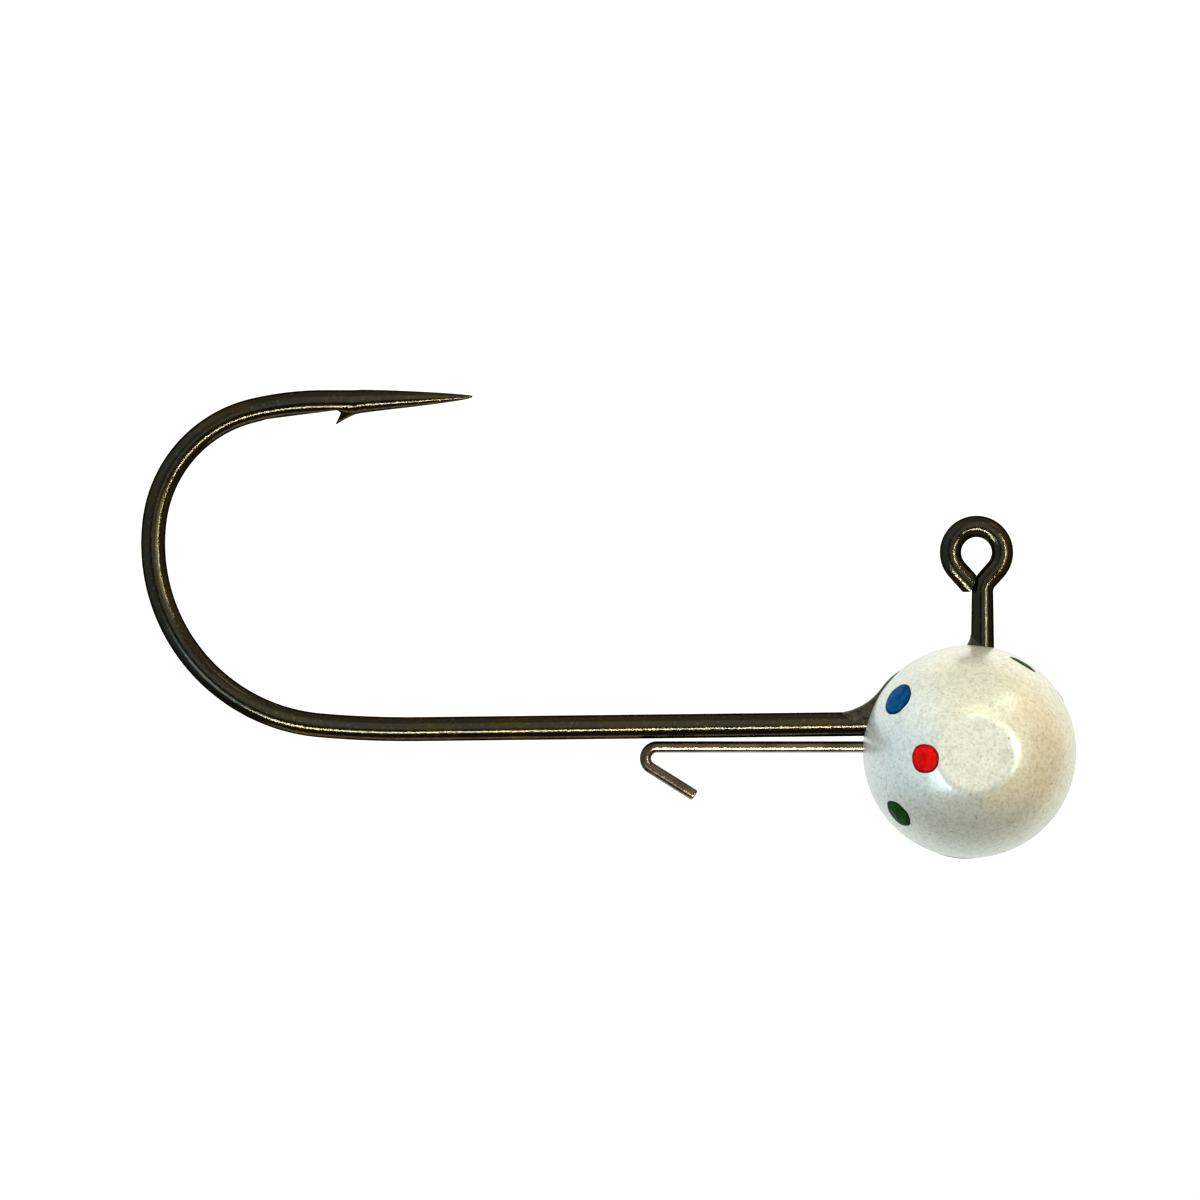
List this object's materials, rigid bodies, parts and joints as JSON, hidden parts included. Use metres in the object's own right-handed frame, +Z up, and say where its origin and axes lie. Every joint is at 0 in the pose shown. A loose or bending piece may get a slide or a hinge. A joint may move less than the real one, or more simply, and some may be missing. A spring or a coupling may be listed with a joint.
{
  "type": "jig head",
  "caption": "Painted ball jig head on an upturned jig hook: a weighted ball cast round the hook's neck, a line eye on top, a wire bait keeper under the shank.",
  "frame": {"origin": "centre of the line eye's hole", "axes": "+X towards the ball's nose, away from the bend; +Y out of the hook's plane, along the hole of the line eye, to the left side; +Z up, from the ball to the line eye"},
  "size_m": [0.0468, 0.01, 0.0235],
  "materials": {
    "hook_steel": "black nickel plate, glossy",
    "keeper_steel": "drawn steel wire, satin",
    "tungsten_alloy": "sintered, matte",
    "solder": "tin solder, dull",
    "pearl_enamel": "pearl enamel, fine grain, glossy",
    "blue_enamel": "enamel, glossy",
    "red_enamel": "enamel, glossy",
    "green_enamel": "enamel, glossy",
    "grey_enamel": "enamel, glossy",
    "violet_enamel": "enamel, glossy"
  },
  "bodies": {
    "root": {"hook": "hook_steel", "keeper_wire": "keeper_steel", "head_core": "tungsten_alloy", "slot_solder": "solder", "base_coat": "pearl_enamel", "dot_blue_right": "blue_enamel", "dot_red_right": "red_enamel", "dot_green_right": "green_enamel", "dot_green_top": "green_enamel", "dot_green_nose": "green_enamel", "dot_grey_nose": "grey_enamel", "dot_violet_belly": "violet_enamel", "dot_blue_left": "blue_enamel", "dot_red_left": "red_enamel", "dot_green_left": "green_enamel"}
  },
  "joints": []
}
